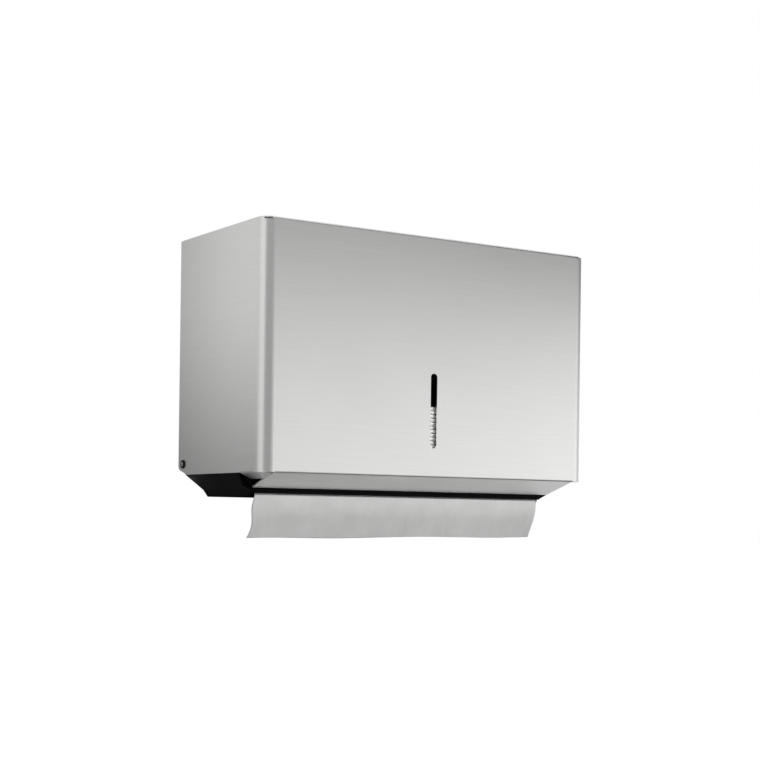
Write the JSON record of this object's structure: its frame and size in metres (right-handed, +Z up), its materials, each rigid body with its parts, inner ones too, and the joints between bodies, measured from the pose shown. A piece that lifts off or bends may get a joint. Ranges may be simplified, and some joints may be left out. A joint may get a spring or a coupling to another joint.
{
  "type": "paper towel dispenser",
  "caption": "Wall-mounted dispenser for folded paper towels: satin steel cover that tips forward on hinge pins, cam lock, sight slot, black throat tray, towel stack and a hanging towel leaf.",
  "frame": {"origin": "on the wall, at the centre of the four wall screw holes", "axes": "+X right seen from the front, +Y into the wall, +Z up"},
  "size_m": [0.286, 0.126, 0.2208],
  "materials": {
    "satin_stainless": "satin, fine brushed grain",
    "galvanised_sheet": "galvanised, dull",
    "zinc_plated_steel": "zinc plated",
    "blackened_steel": "black oxide, satin",
    "nylon": "natural nylon",
    "rubber": "matte",
    "black_abs": "moulded, fine texture",
    "towel_paper": "embossed tissue",
    "chrome_plate": "polished"
  },
  "bodies": {
    "wall_frame": {"back_plate": "galvanised_sheet", "lock_strike": "galvanised_sheet", "strike_rivets": "zinc_plated_steel", "guide_left": "galvanised_sheet", "guide_right": "galvanised_sheet", "guide_rivets": "zinc_plated_steel", "hopper_tray": "black_abs", "tray_screws": "zinc_plated_steel", "hinge_pin_left": "blackened_steel", "hinge_pin_right": "blackened_steel", "hinge_washer_left": "nylon", "hinge_washer_right": "nylon", "hinge_nut_left": "zinc_plated_steel", "hinge_nut_right": "zinc_plated_steel", "buffer_left": "rubber", "buffer_right": "rubber", "towel_stack": "towel_paper"},
    "cover": {"cover_shell": "satin_stainless", "lock_barrel": "chrome_plate", "lock_washer": "zinc_plated_steel", "lock_nut": "zinc_plated_steel"},
    "lock": {"lock_plug": "chrome_plate", "lock_cam": "zinc_plated_steel", "cam_screw": "zinc_plated_steel"},
    "towel": {"leading_towel": "towel_paper"}
  },
  "joints": [
    {"name": "cover_hinge", "type": "hinge", "parent": "wall_frame", "child": "cover", "pos_m": [0, -0.00825, -0.08025], "axis": [1, 0, 0], "range_deg": [0, 80]},
    {"name": "lock_turn", "type": "hinge", "parent": "cover", "child": "lock", "pos_m": [0, -0.028, 0.0855], "axis": [0, 0, -1], "range_deg": [0, 90]},
    {"name": "towel_pull", "type": "slide", "parent": "wall_frame", "child": "towel", "axis": [0, 0, -1], "range_m": [0, 0.016]}
  ]
}
